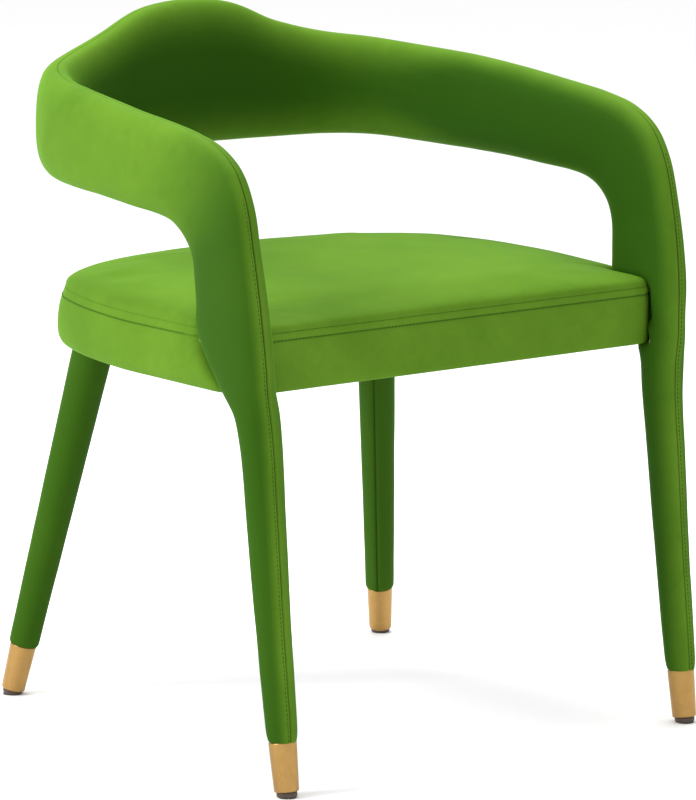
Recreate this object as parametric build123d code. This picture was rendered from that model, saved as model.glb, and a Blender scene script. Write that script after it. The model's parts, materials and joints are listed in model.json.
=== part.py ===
from build123d import *
import math
import os

# Dining chair with a continuous padded back-and-arm band that runs down into the front legs.
# Working frame: millimetres, floor at z = 0, front of the chair towards -Y, mirror plane X = 0.
# The whole assembly is moved at the end so its footprint is centred on the origin.

# ---- overall sizes -------------------------------------------------------------------------
OVERALL_H = 765.0          # floor to the peak of the back
BAND_HALF_W = 277.5        # centre plane to the middle of an arm
BACK_Y = 310.0             # middle of the back, from the working origin
ARM_FRONT_Y = -237.0       # foremost point of the post at seat level
SEAT_UNDER_Z = 415.5       # underside of the seat
SEAT_SEAM_Z = 478.0        # seam between seat side and seat top
SEAT_TOP_Z = 508.0         # crown of the seat

# ---- band: back, arms, posts ---------------------------------------------------------------
BAND_T = 45.0              # thickness of back and arms over the fabric
ARM_TOP_Z = 692.0          # top of the arm half way along
ARM_DEPTH = 101.0          # height of the arm section
BACK_UNDER_Z = 600.0       # lower edge of the back
SHOULDER_Z = 711.0         # top of the band at the rear corners, below the hump
POST_DEPTH = 106.0         # front to back size of the post above the seat
POST_T = 46.0
BAND_SECTIONS = 91         # sections along the band
BAND_SQUARE = 2.8          # exponent of the rounded section, 2 is an ellipse

# ---- front legs ----------------------------------------------------------------------------
LEG_TOP_D = 46.5           # just under the seat
LEG_HEM_D = 33.8           # at the fabric hem above the ferrule
LEG_X = 269.3
LEG_TOP_Y = -213.0         # leg axis at the top
LEG_HEM_Y = -253.5         # leg axis at the hem
HEM_Z = 58.0

# ---- rear legs -----------------------------------------------------------------------------
REAR_FOOT = (257.4, 284.9)     # axis at the floor end of the ferrule
REAR_TOP = (192.0, 207.0)      # axis at the underside of the seat
REAR_TOP_D = 46.0
REAR_HEM_D = 33.5

# ---- ferrules and glides -------------------------------------------------------------------
FERRULE_Z = 6.0            # bottom of the ferrule above the floor
FERRULE_TOP_D = 30.0
FERRULE_FOOT_D = 26.6
FERRULE_WALL = 1.2
GLIDE_D = 22.0
GLIDE_RIM = 1.6
NAIL_D = 3.0
NAIL_L = 24.0

# ---- cloth, padding, fits ------------------------------------------------------------------
CLOTH = 1.3                # velvet with its backing
LAYER = 0.25               # play between one soft layer and the next
BAND_PAD = 10.0            # foam round the band frame
LEG_PAD = 2.2              # thin foam round the legs
SEAT_GAP = 1.0             # between seat and post
DOWEL_D = 10.0
DOWEL_L = 50.0
DOWEL_FIT = 0.1            # hole over dowel, on the diameter

# ---- seat ----------------------------------------------------------------------------------
SEAT_HALF_W = 300.0
SEAT_FRONT_Y = -204.0
SEAT_REAR_Y = 266.0
SEAT_CORNER_R = 16.0
SEAT_NECK_X = 267.0        # half width of the seat between the posts, pressed into their padding
SEAT_LEAN = 9.0            # how far the side comes in from mid height to the seam
SEAT_SIDE_PAD = 11.0
RAIL_T = 24.0
RAIL_H = 40.0
DECK_T = 10.0
BLOCK_X = 205.0            # inner end of the front corner blocks
SIDE_RAIL_END_Y = 90.0     # joint between side rail and bent rear rail
WRAP_UNDER = 24.0          # cloth turned under the seat
DUST_T = 0.8

# ---- fasteners -----------------------------------------------------------------------------
BOLT_D = 8.0
BOLT_HEAD_D = 17.0
BOLT_HEAD_H = 3.0
WASHER_D = 22.0
WASHER_T = 1.6
INSERT_D = 12.0
INSERT_L = 14.0
HANGER_LEN_UP = 34.0
HANGER_LEN_DOWN = 46.0
SCREW_D = 4.0
SCREW_HEAD_D = 8.0
STAPLE_W = 10.0
STAPLE_D = 1.2


# ---- small helpers -------------------------------------------------------------------------
def v(x, y, z):
    return Vector(x, y, z)


def rod(a, b, d1, d2=None):
    """Round bar or cone from point a to point b."""
    a, b = Vector(*a), Vector(*b)
    axis = Plane(origin=a, z_dir=(b - a).normalized())
    h = (b - a).length
    shape = Cylinder(d1 / 2, h) if d2 is None else Cone(d1 / 2, d2 / 2, h)
    return axis * Pos(0, 0, h / 2) * shape


def slab(x0, x1, y0, y1, z0, z1):
    return Pos((x0 + x1) / 2, (y0 + y1) / 2, (z0 + z1) / 2) * Box(x1 - x0, y1 - y0, z1 - z0)


def both(shape):
    """The shape and its mirror image across the middle of the chair."""
    return [shape, mirror(shape, Plane.YZ)]


def solids_of(shape):
    if isinstance(shape, (list, tuple, ShapeList)):
        return [s for piece in shape for s in solids_of(piece)]
    return list(shape.solids())


def group(shapes):
    return Compound(children=solids_of(shapes))


def cut(shape, *tools):
    for tool in tools:
        for t in solids_of(tool):
            shape = shape - t
    return shape


def main_solid(shape):
    return max(solids_of(shape), key=lambda s: s.volume)


def prism(points, z0, z1):
    return extrude(Pos(0, 0, z0) * make_face(Polyline(*points, close=True)), z1 - z0)


# ---- the band: one section carried from the middle of the back down to a front hem -----------
def stations():
    """Rows of outer rail point, inner rail point, thickness, squareness and padding.
    The outer rail is the top of the band and the front of the post and leg."""
    w, b, f = BAND_HALF_W, BACK_Y, ARM_FRONT_Y
    top, sh, arm, under = OVERALL_H, SHOULDER_Z, ARM_TOP_Z, BACK_UNDER_Z
    low = ARM_TOP_Z - ARM_DEPTH            # lower edge of the arm
    back = f + POST_DEPTH                  # rear edge of the post
    seam, floor = SEAT_SEAM_Z, SEAT_UNDER_Z
    t, p, sq, pad = BAND_T, POST_T, BAND_SQUARE, BAND_PAD
    rows = [
        ((0, b, top), (0, b + 4, under), t, sq, pad),
        ((0.22 * w, b - 1, top - 0.13 * (top - sh)), (0.22 * w, b + 2, under), t, sq, pad),
        ((0.42 * w, b - 8, top - 0.56 * (top - sh)), (0.435 * w, b - 6, under), t, sq, pad),
        ((0.61 * w, 0.91 * b, sh + 9), (0.63 * w, 0.915 * b, under + 1.5), t, sq, pad),
        ((0.772 * w, 0.79 * b, sh + 2), (0.79 * w, 0.79 * b, under + 1), t, sq, pad),
        ((0.875 * w, 0.625 * b, sh - 4), (0.893 * w, 0.625 * b, under - 3), t, sq, pad),
        ((0.935 * w, 0.42 * b, sh - 8), (0.95 * w, 0.42 * b, under - 5), t, sq, pad),
        ((0.966 * w, 0.21 * b, arm + 6), (0.975 * w, 0.21 * b, low + 3), t, sq, pad),
        ((0.982 * w, 0, arm), (0.989 * w, 0, low), t, sq, pad),
        ((0.986 * w, -55, arm - 5), (0.997 * w, -50, low - 2), t - 1, sq, pad),
        ((0.99 * w, f + 131, arm - 11), (w + 1, back + 48, low - 7), t - 2, sq, pad),
        ((0.997 * w, f + 87, arm - 21), (w + 2, back + 27, low - 18), t - 3, sq, pad),
        ((w, f + 53, arm - 41), (w + 2, back + 14, low - 32), t - 4, sq, pad),
        ((w + 1, f + 32, arm - 73), (w + 2, back + 8, low - 46), t - 4, sq, pad),
        ((w + 2, f + 19, arm - 117), (w + 2, back + 6, low - 63), t - 4, sq, pad),
        ((w + 1.5, f + 9, seam + 47), (w + 1, back + 4, seam + 27), p - 2, sq, pad),
        ((w, f + 3, seam), (w + 1, back + 1, seam), p + 1, sq, pad),
        ((w - 1.5, f + 1, seam - 28), (w - 1, back - 11, seam - 26), p + 1, 2.5, pad - 1),
        ((w - 3, f, floor + 7), (w - 2, back - 35, floor + 9), p, 2.3, pad - 3),
        ((LEG_X + 2, f, floor - 18), (LEG_X + 2.5, back - 57, floor - 16), LEG_TOP_D, 2.15, 5),
    ]
    for k, z in ((0.11, floor - 48), (0.33, None), (0.66, None), (1.0, HEM_Z)):
        z = floor - k * (floor - HEM_Z) if z is None else z
        d = LEG_TOP_D + k * (LEG_HEM_D - LEG_TOP_D)
        y = LEG_TOP_Y + (0.75 * k + 0.25 * k * k) * (LEG_HEM_Y - LEG_TOP_Y)
        rows.append(((LEG_X, y - d / 2, z), (LEG_X, y + d / 2, z), d, 2.0, LEG_PAD))
    return rows


def blended(rows, count):
    """The rows redrawn as count evenly spaced ones on a smooth curve through them."""
    flat = [(*a, *b, t, e, pad) for a, b, t, e, pad in rows]
    step = [max(math.dist(p[0:3], q[0:3]), math.dist(p[3:6], q[3:6])) for p, q in zip(flat, flat[1:])]
    rate = [[(y - x) / h for x, y in zip(p, q)] for p, q, h in zip(flat, flat[1:], step)]
    slope = [rate[0]]
    for i in range(1, len(rate)):
        w = step[i] / (step[i - 1] + step[i])
        slope.append([w * a + (1 - w) * b for a, b in zip(rate[i - 1], rate[i])])
    slope.append(rate[-1])
    out, i, start = [], 0, 0.0
    for k in range(count):
        s = sum(step) * k / (count - 1)
        while i < len(step) - 1 and s > start + step[i]:
            start += step[i]
            i += 1
        h, u = step[i], (s - start) / step[i]
        row = [(2 * u ** 3 - 3 * u ** 2 + 1) * a + (u ** 3 - 2 * u ** 2 + u) * h * ma
               + (3 * u ** 2 - 2 * u ** 3) * b + (u ** 3 - u ** 2) * h * mb
               for a, ma, b, mb in zip(flat[i], slope[i], flat[i + 1], slope[i + 1])]
        out.append((row[0:3], row[3:6], row[6], row[7], row[8]))
    return out


def frames():
    """Centre, half-height vector, outward unit normal, half thickness, exponent, padding."""
    rows = stations()
    flip = lambda q: (-q[0], q[1], q[2])
    whole = [(flip(a), flip(b), t, e, pad) for a, b, t, e, pad in reversed(rows[1:])] + rows
    rows = blended(whole, BAND_SECTIONS)
    mids = [(Vector(*r[0]) + Vector(*r[1])) * 0.5 for r in rows]
    out = []
    for i, (a, b, t, e, pad) in enumerate(rows):
        run = mids[min(i + 1, len(mids) - 1)] - mids[max(i - 1, 0)]
        half = (Vector(*a) - Vector(*b)) * 0.5
        out.append((mids[i], half, half.cross(run).normalized(), t / 2, e, pad))
    return out


FRAMES = frames()


def half_section(frame, inset, side):
    """Curve from the outer rail to the inner rail, round one side of the section."""
    mid, half, normal, ht, e, _ = frame
    up = half.normalized() * (half.length - inset)
    across = normal * (side * (ht - inset))
    pts = []
    for k in range(11):
        u = abs(1 - k / 5)
        along = math.copysign((1 - (1 - u) ** e) ** (1 / e), 5 - k) if u else 0.0
        if u == 1:
            pts.append(mid + up * along)
        else:
            pts.append(mid + up * along + across * (1 - abs(along) ** e) ** (1 / e))
    n = normal * side
    return Edge.make_spline(pts, tangents=[n, n * -1], parameters=[k / 10 for k in range(11)])


def band_solid(inset):
    """The whole band as one closed solid; inset gives the distance in from the padding there."""
    wires = []
    for fr in FRAMES:
        d = inset(fr[5])
        wires.append(Wire([half_section(fr, d, 1), half_section(fr, d, -1)]))
    return Solid.make_loft(wires)


def cloth_half(side):
    """Half of the band's cloth, from the seam along one rail to the seam along the other."""
    wires = []
    for fr in FRAMES:
        out, lining = half_section(fr, 0, side), half_section(fr, CLOTH, side)
        wires.append(Wire([out, Line(out @ 1, lining @ 1).edge(), lining, Line(lining @ 0, out @ 0).edge()]))
    return Solid.make_loft(wires)


# ---- envelopes the pieces are cut from -------------------------------------------------------
LAYERS_OUT = CLOTH + LAYER                      # outer face of the foam
RAIL_Z = SEAT_UNDER_Z + CLOTH + 0.3             # underside of the seat frame
DECK_Z = RAIL_Z + RAIL_H
FRAME_IN = SEAT_SIDE_PAD + LAYER                # seat frame, in from the outer cloth face


def seat_outline(inset, z=0.0, lean=0.0):
    """Closed seat plan; at the front it steps in to run past the inner faces of the posts."""
    d = inset + lean
    w, y0, y1, r = SEAT_HALF_W - d, SEAT_FRONT_Y + inset, SEAT_REAR_Y - d, SEAT_CORNER_R
    neck = SEAT_NECK_X - inset
    side = [(w - 9, y0 + r - 4), (w - 1, -60), (w, 10), (w * 0.95, 0.43 * y1), (w * 0.848, 0.715 * y1),
            (w * 0.62, 0.905 * y1), (w * 0.33, y1 - 3), (0, y1)]
    start = [(0, y0), (neck - r, y0)]
    half = [Line(*start), ThreePointArc((neck - r, y0), (neck - 0.3 * r, y0 + 0.28 * r), (neck, y0 + r - 4)),
            Line((neck, y0 + r - 4), side[0]), Spline(*side, tangents=[(0.2, 1), (-1, 0)])]
    half = [e.edge() for e in half]
    return Pos(0, 0, z) * Wire(half + [mirror(e, Plane.YZ).edge() for e in half])


def plan_prism(inset, z0, z1):
    return extrude(make_face(seat_outline(inset, z0)), z1 - z0, dir=(0, 0, 1))


def seat_body(inset):
    """Padded lower body of the seat, from its underside to the seam."""
    z0, z1 = SEAT_UNDER_Z + inset, SEAT_SEAM_Z
    levels = [(z0, 7.0), (z0 + 9, 1.0), (z0 + 22, 0.0), (z1 - 22, 1.5), (z1, SEAT_LEAN)]
    return Solid.make_loft([seat_outline(inset, z, lean) for z, lean in levels])


def seat_crown(inset):
    """Crowned top of the seat, above the seam."""
    z1, z2 = SEAT_SEAM_Z, SEAT_TOP_Z - inset
    r = SEAT_HALF_W ** 2 / (2 * (SEAT_TOP_Z - SEAT_SEAM_Z) * 0.62) - inset
    rim = Solid.make_loft([seat_outline(inset, z1, SEAT_LEAN), seat_outline(inset, z1 + 11, SEAT_LEAN + 4),
                           seat_outline(inset, z2 + 1, SEAT_LEAN + 18)])
    return rim & (Pos(0, 10, z2 - r) * Sphere(r))


def round_posts(clear):
    """The band swelled by clear, kept to the height of the seat, used to cut room for the posts."""
    zone = slab(-400, 400, -400, 60, SEAT_UNDER_Z - 15, SEAT_TOP_Z + 20)
    return cut(band_solid(lambda pad: -clear) & zone, *both(press(0.0)))


def press(clear):
    """Room for the side of the seat, which is pressed into the padding of the left post."""
    return slab(SEAT_NECK_X - 60, SEAT_NECK_X + clear, SEAT_FRONT_Y - clear, POST_JOINT_Y,
                SEAT_UNDER_Z - 2 - clear, SEAT_SEAM_Z + 7 + clear)


def rear_leg_axis(z):
    """Point on the left rear leg's axis at height z."""
    u = (z - FERRULE_Z) / (SEAT_UNDER_Z - FERRULE_Z)
    return tuple(a + u * (b - a) for a, b in zip(REAR_FOOT, REAR_TOP)) + (z,)


def front_leg_axis(z):
    """Point on the straight line of the left front leg's foot at height z."""
    slope = 1.25 * (LEG_TOP_Y - LEG_HEM_Y) / (SEAT_UNDER_Z - HEM_Z)
    return (LEG_X, LEG_HEM_Y + slope * (z - HEM_Z), z)


# ---- band pieces ---------------------------------------------------------------------------
ARM_JOINT_Y = 60.0         # arm frame meets back frame
POST_JOINT_Y = -100.0      # arm frame meets post
LEG_PAD_Z = SEAT_UNDER_Z - 20
BIG = 900.0


def boss():
    """Tongue of the front corner block that bears on the post frame, with its pocket."""
    y = SEAT_FRONT_Y + FRAME_IN
    x = BAND_HALF_W - 8.0
    return slab(x - 34, x, y + 0.5, y + 18, RAIL_Z + 4, DECK_Z - 1)


def arm_bolt_points():
    y = SEAT_FRONT_Y + FRAME_IN + 8.75
    mid = RAIL_Z + RAIL_H / 2 + 3
    return [(y, mid - 10), (y, mid + 10)]


def dowel_points():
    """Dowels across the back joint and the post joint of the left arm, all along Y."""
    arm_mid = ARM_TOP_Z - ARM_DEPTH / 2
    x1, x2 = 0.97 * BAND_HALF_W, 0.999 * BAND_HALF_W
    back = [(x1, ARM_JOINT_Y, arm_mid + 2 + d) for d in (-20, 20)]
    post = [(x2, POST_JOINT_Y, arm_mid - 9 + d) for d in (-14, 14)]
    return back + post


def dowels():
    out = []
    for x, y, z in dowel_points():
        out += both(rod((x, y - DOWEL_L / 2, z), (x, y + DOWEL_L / 2, z), DOWEL_D))
    return out


def dowel_holes():
    half = DOWEL_L / 2 + 1
    return [rod((x, y - half, z), (x, y + half, z), DOWEL_D + DOWEL_FIT) for x, y, z in dowel_points()]


def band_parts():
    core = band_solid(lambda pad: pad + LAYERS_OUT + LAYER)
    foam_outer = band_solid(lambda pad: LAYERS_OUT)
    foam_inner = band_solid(lambda pad: pad + LAYERS_OUT)
    back_zone = slab(-BIG, BIG, ARM_JOINT_Y, BIG, 0, BIG)
    arm_zone = slab(0, BIG, -BIG, ARM_JOINT_Y, LEG_PAD_Z, BIG)
    leg_zone = slab(0, BIG, -BIG, ARM_JOINT_Y, 0, LEG_PAD_Z - 0.2)
    holes = dowel_holes()
    parts = {}
    back = core & back_zone
    for h in holes:
        back = cut(back, *both(h))
    parts["back_frame"] = back
    arm = core & slab(0, BIG, POST_JOINT_Y, ARM_JOINT_Y, SEAT_TOP_Z, BIG)
    post = core & slab(0, BIG, -BIG, POST_JOINT_Y, 0, BIG)
    post = post + front_spigot()
    nail = nail_rod(front_leg_axis)
    bolts = [rod((BAND_HALF_W - 10, y, z), (BAND_HALF_W + 7, y, z), INSERT_D) for y, z in arm_bolt_points()]
    parts["left_arm_frame"] = main_solid(cut(arm, *holes))
    parts["left_post_and_leg"] = main_solid(cut(post, *holes, press(SEAT_GAP), boss(), nail, *bolts))
    parts["back_foam"] = (foam_outer & back_zone) - (foam_inner & back_zone)
    pocket = slab(BAND_HALF_W - BAND_T, BAND_HALF_W - 8, SEAT_FRONT_Y + FRAME_IN,
                  SEAT_FRONT_Y + FRAME_IN + 18.5, RAIL_Z + 3.5, DECK_Z - 0.5)
    foam = cut((foam_outer & arm_zone) - (foam_inner & arm_zone), press(SEAT_GAP), pocket)
    parts["left_arm_foam"] = main_solid(foam)
    parts["left_front_leg_foam"] = main_solid((foam_outer & leg_zone) - (foam_inner & leg_zone))
    parts["band_outer_cloth"] = main_solid(cloth_half(1))
    parts["band_inner_cloth"] = main_solid(cut(cloth_half(-1), *both(press(SEAT_GAP)), *both(pocket)))
    return parts


# ---- legs, ferrules, glides ------------------------------------------------------------------
def unit(axis):
    a, b = Vector(*axis(0)), Vector(*axis(100))
    return (b - a).normalized()


def along(axis, z, d):
    """Point d further up the leg than the axis point at height z."""
    return tuple(Vector(*axis(z)) + unit(axis) * d)


def spigot(axis):
    """Turned end of a leg that fills its ferrule."""
    return rod(along(axis, FERRULE_Z, FERRULE_WALL + 0.1), along(axis, HEM_Z, 0),
               FERRULE_FOOT_D - 2 * FERRULE_WALL - 0.2, FERRULE_TOP_D - 2 * FERRULE_WALL - 0.2)


def front_spigot():
    return spigot(front_leg_axis)


def nail_rod(axis):
    return rod(axis(2.4), along(axis, FERRULE_Z, NAIL_L), NAIL_D)


def ferrule(axis):
    low, high = along(axis, FERRULE_Z, 0), along(axis, HEM_Z, -0.6)
    shell = fillet(rod(low, high, FERRULE_FOOT_D, FERRULE_TOP_D).edges().sort_by(Axis.Z)[0], 1.0)
    hollow = rod(along(axis, FERRULE_Z, FERRULE_WALL), along(axis, HEM_Z, 0),
                 FERRULE_FOOT_D - 2 * FERRULE_WALL, FERRULE_TOP_D - 2 * FERRULE_WALL)
    return cut(shell, hollow, rod(along(axis, 0, 0), along(axis, FERRULE_Z, 6), NAIL_D + 1))


def glide(axis):
    body = rod(along(axis, 0, -8), along(axis, FERRULE_Z, -0.1), GLIDE_D)
    body = body & slab(-BIG, BIG, -BIG, BIG, 0, 60)
    return cut(body, nail_rod(axis))


def rear_leg_parts():
    axis = rear_leg_axis
    taper = (REAR_TOP_D - REAR_HEM_D) / math.dist(axis(HEM_Z), axis(SEAT_UNDER_Z))
    top_d = REAR_TOP_D + 30 * taper
    limit = SEAT_UNDER_Z - DUST_T - 0.2

    def bar(inset, top):
        cone = rod(along(axis, HEM_Z, 0), along(axis, SEAT_UNDER_Z, 30), REAR_HEM_D - 2 * inset, top_d - 2 * inset)
        return cone & slab(-BIG, BIG, -BIG, BIG, 0, top)

    core = bar(CLOTH + LEG_PAD + 2 * LAYER, RAIL_Z) + spigot(axis)
    bolt = rod(along(axis, RAIL_Z, -HANGER_LEN_DOWN), along(axis, RAIL_Z, HANGER_LEN_UP), BOLT_D)
    return {
        "left_rear_leg": main_solid(cut(core, bolt, nail_rod(axis))),
        "left_rear_leg_foam": cut(bar(LAYERS_OUT, limit), bar(CLOTH + LEG_PAD + LAYER, limit + 1)),
        "left_rear_leg_cloth": cut(bar(0, limit), bar(CLOTH, limit + 1)),
    }, bolt


# ---- seat pieces -----------------------------------------------------------------------------
def deck_screw_points():
    m = FRAME_IN + RAIL_T / 2
    w, y0, y1 = SEAT_HALF_W - m, SEAT_FRONT_Y + m, SEAT_REAR_Y - m
    pairs = [(0.36 * w, y0), (w - 0.5, -40), (w - 2.5, 50), (0.6 * w, y1 - 25), (0.2 * w, y1 - 1)]
    return [(sx * x, y) for x, y in pairs for sx in (1, -1)]


def screw_down(x, y, z, length):
    """Countersunk wood screw driven down from z."""
    head = rod((x, y, z - 2.6), (x, y, z), SCREW_D, SCREW_HEAD_D)
    return main_solid(head + rod((x, y, z - length), (x, y, z - 2.6), SCREW_D))


def block_screws():
    """Screws from the front corner block into the side rail and the front rail."""
    y = SEAT_FRONT_Y + FRAME_IN + RAIL_T
    z = RAIL_Z + RAIL_H / 2
    side = rod((BLOCK_X + 12, -100, z), (BLOCK_X + 68, -100, z), SCREW_D)
    front = rod((BLOCK_X - 28, y + 38, z), (BLOCK_X - 28, y - 16, z), SCREW_D)
    heads = [rod((BLOCK_X + 12, -100, z), (BLOCK_X + 10, -100, z), SCREW_HEAD_D),
             rod((BLOCK_X - 28, y + 38, z), (BLOCK_X - 28, y + 40, z), SCREW_HEAD_D)]
    return [main_solid(side + heads[0]), main_solid(front + heads[1])]


def seat_parts(hanger):
    parts = {}
    y_rail = SEAT_FRONT_Y + FRAME_IN + RAIL_T
    posts = [round_posts(d) for d in (SEAT_GAP, SEAT_GAP + CLOTH, SEAT_GAP + CLOTH + LAYER)]
    boss_room = slab(BAND_HALF_W - 60, BAND_HALF_W, SEAT_FRONT_Y + FRAME_IN, SEAT_FRONT_Y + FRAME_IN + 18.5,
                     RAIL_Z + 3.5, DECK_Z - 0.5)
    leg_hole = rod(along(rear_leg_axis, SEAT_UNDER_Z, -20), along(rear_leg_axis, SEAT_UNDER_Z, 20), REAR_TOP_D)

    side = cut(seat_body(0), posts[0]) - cut(seat_body(CLOTH), posts[1])
    mouth = plan_prism(WRAP_UNDER, SEAT_UNDER_Z - 2, SEAT_UNDER_Z + 3)
    parts["seat_side_cloth"] = main_solid(cut(side, mouth, *both(boss_room), *both(leg_hole)))
    top = cut(seat_crown(0), posts[0]) - cut(seat_crown(CLOTH), posts[1])
    parts["seat_top_cloth"] = main_solid(top)
    foam = cut(seat_body(LAYERS_OUT) + seat_crown(LAYERS_OUT), posts[2])
    core = plan_prism(SEAT_SIDE_PAD, SEAT_UNDER_Z - 5, DECK_Z + DECK_T + LAYER)
    parts["seat_foam"] = main_solid(cut(foam, core, *both(boss_room), *both(leg_hole)))

    frame = cut(plan_prism(FRAME_IN, RAIL_Z, DECK_Z), posts[2])
    inner = plan_prism(FRAME_IN + RAIL_T, RAIL_Z - 1, DECK_Z + 1)
    ring = frame - inner
    neck = BAND_HALF_W - POST_T / 2
    screws = [screw_down(x, y, DECK_Z + DECK_T, 34) for x, y in deck_screw_points()]
    bscrews = [m for s in block_screws() for m in both(s)]
    side_zone = slab(neck, BIG, -BIG, SIDE_RAIL_END_Y, 0, BIG)
    front_zone = slab(-BLOCK_X, BLOCK_X, -BIG, y_rail, 0, BIG)
    side_rail, front_rail = main_solid(ring & side_zone), main_solid(ring & front_zone)
    parts["seat_front_rail"] = main_solid(cut(front_rail, *screws, *bscrews))
    rail_dowels = [rod((SEAT_HALF_W - FRAME_IN - RAIL_T / 2 - 6, SIDE_RAIL_END_Y - 20, z),
                       (SEAT_HALF_W - FRAME_IN - RAIL_T / 2 - 6, SIDE_RAIL_END_Y + 20, z), 8.0)
                   for z in (RAIL_Z + 12, RAIL_Z + 28)]
    parts["left_side_rail"] = main_solid(cut(side_rail, *screws, *bscrews, *rail_dowels))
    rear = ring & slab(-BIG, BIG, SIDE_RAIL_END_Y, BIG, 0, BIG)
    parts["seat_rear_rail"] = main_solid(cut(rear, *screws, *[m for d in rail_dowels for m in both(d)]))

    shape = prism([(BLOCK_X - 55, y_rail), (BLOCK_X, y_rail), (BLOCK_X, -BIG), (BIG, -BIG), (BIG, -75),
                   (BLOCK_X + 10, -75), (BLOCK_X + 10, y_rail + 38), (BLOCK_X - 55, y_rail + 38)], RAIL_Z, DECK_Z)
    head_room = slab(BLOCK_X - 1, BLOCK_X + 17, -BIG, SEAT_FRONT_Y + FRAME_IN + 18, 0, DECK_Z - 4)
    bolts = [rod((BLOCK_X, y, z), (BIG, y, z), BOLT_D) for y, z in arm_bolt_points()]
    block = main_solid((frame & shape) - side_rail) + boss()
    parts["left_front_corner_block"] = main_solid(cut(block, head_room, *bolts, *bscrews))
    corner = prism([(0.4 * SEAT_HALF_W, BIG), (BIG, BIG), (BIG, 0.37 * SEAT_HALF_W),
                    (0.85 * SEAT_HALF_W, 0.37 * SEAT_HALF_W), (0.4 * SEAT_HALF_W, 0.82 * SEAT_HALF_W)], RAIL_Z, DECK_Z)
    nut = rod(along(rear_leg_axis, RAIL_Z, 22), along(rear_leg_axis, RAIL_Z, 34), INSERT_D)
    parts["left_rear_corner_block"] = main_solid(cut((plan_prism(FRAME_IN + RAIL_T, RAIL_Z, DECK_Z) & corner),
                                                     hanger, nut))
    parts["seat_deck"] = main_solid(cut(plan_prism(FRAME_IN, DECK_Z, DECK_Z + DECK_T), posts[2], *screws))
    dust = cut(plan_prism(14.0, SEAT_UNDER_Z - DUST_T, SEAT_UNDER_Z), round_posts(6.0), *both(leg_hole))
    parts["dust_cover"] = main_solid(dust)
    parts["deck_screws"] = group(screws)
    parts["corner_block_screws"] = group(bscrews)
    parts["seat_rail_dowels"] = group([m for d in rail_dowels for m in both(d)])
    parts["dust_cover_staples"] = group(staples())

    heads, washers, inserts = [], [], []
    for y, z in arm_bolt_points():
        x = BLOCK_X + 17
        heads.append(rod((x - WASHER_T - BOLT_HEAD_H, y, z), (x - WASHER_T, y, z), BOLT_HEAD_D - 1)
                     + rod((x - WASHER_T, y, z), (BAND_HALF_W + 5, y, z), BOLT_D))
        washers.append(rod((x - WASHER_T, y, z), (x, y, z), BOLT_HEAD_D) - rod((x - 5, y, z), (x + 5, y, z), BOLT_D))
        inserts.append(rod((BAND_HALF_W - 8, y, z), (BAND_HALF_W + 6, y, z), INSERT_D)
                       - rod((BAND_HALF_W - 20, y, z), (BAND_HALF_W + 5, y, z), BOLT_D))
    parts["arm_bolts"] = group([m for h in heads for m in both(main_solid(h))])
    parts["arm_bolt_washers"] = group([m for h in washers for m in both(main_solid(h))])
    parts["arm_bolt_inserts"] = group([m for h in inserts for m in both(main_solid(h))])
    parts["rear_leg_hanger_bolts"] = group(both(hanger))
    parts["rear_leg_nuts"] = group(both(cut(nut, hanger)))
    return parts


def staples():
    """Staple crowns round the edge of the dust cover."""
    path = seat_outline(19.0, SEAT_UNDER_Z - DUST_T)
    count = int(path.length // 42)
    out = []
    for k in range(count):
        p, t = path.position_at((k + 0.5) / count), path.tangent_at((k + 0.5) / count)
        if p.Y < -90 and abs(p.X) > 200:
            continue
        turn = math.degrees(math.atan2(t.Y, t.X))
        out.append(Pos(p.X, p.Y, p.Z - 0.3) * Rot(0, 0, turn) * Box(STAPLE_W, STAPLE_D, 0.6))
    return out


# ---- the whole chair ---------------------------------------------------------------------------
def chair():
    parts = band_parts()
    legs, hanger = rear_leg_parts()
    parts.update(legs)
    parts.update(seat_parts(hanger))
    feet = []
    for name, axis in (("front", front_leg_axis), ("rear", rear_leg_axis)):
        parts[f"left_{name}_ferrule"] = ferrule(axis)
        parts[f"left_{name}_glide"] = glide(axis)
        feet += both(nail_rod(axis))
    parts["glide_nails"] = group(feet)
    parts["frame_dowels"] = group(dowels())
    for name in [n for n in parts if n.startswith("left_")]:
        parts["right_" + name[5:]] = mirror(parts[name], Plane.YZ)
    return parts


parts = chair()
boxes = [p.bounding_box() for p in parts.values()]
front, rear = min(b.min.Y for b in boxes), max(b.max.Y for b in boxes)
os.makedirs("parts", exist_ok=True)
for name, shape in sorted(parts.items()):
    moved = Pos(0, -(front + rear) / 2, 0) * group(shape)
    export_step(moved if len(moved.solids()) > 1 else moved.solids()[0], f"parts/{name}.step")
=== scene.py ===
import bpy
import json
import math
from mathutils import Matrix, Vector, noise
from mathutils.bvhtree import BVHTree


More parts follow.
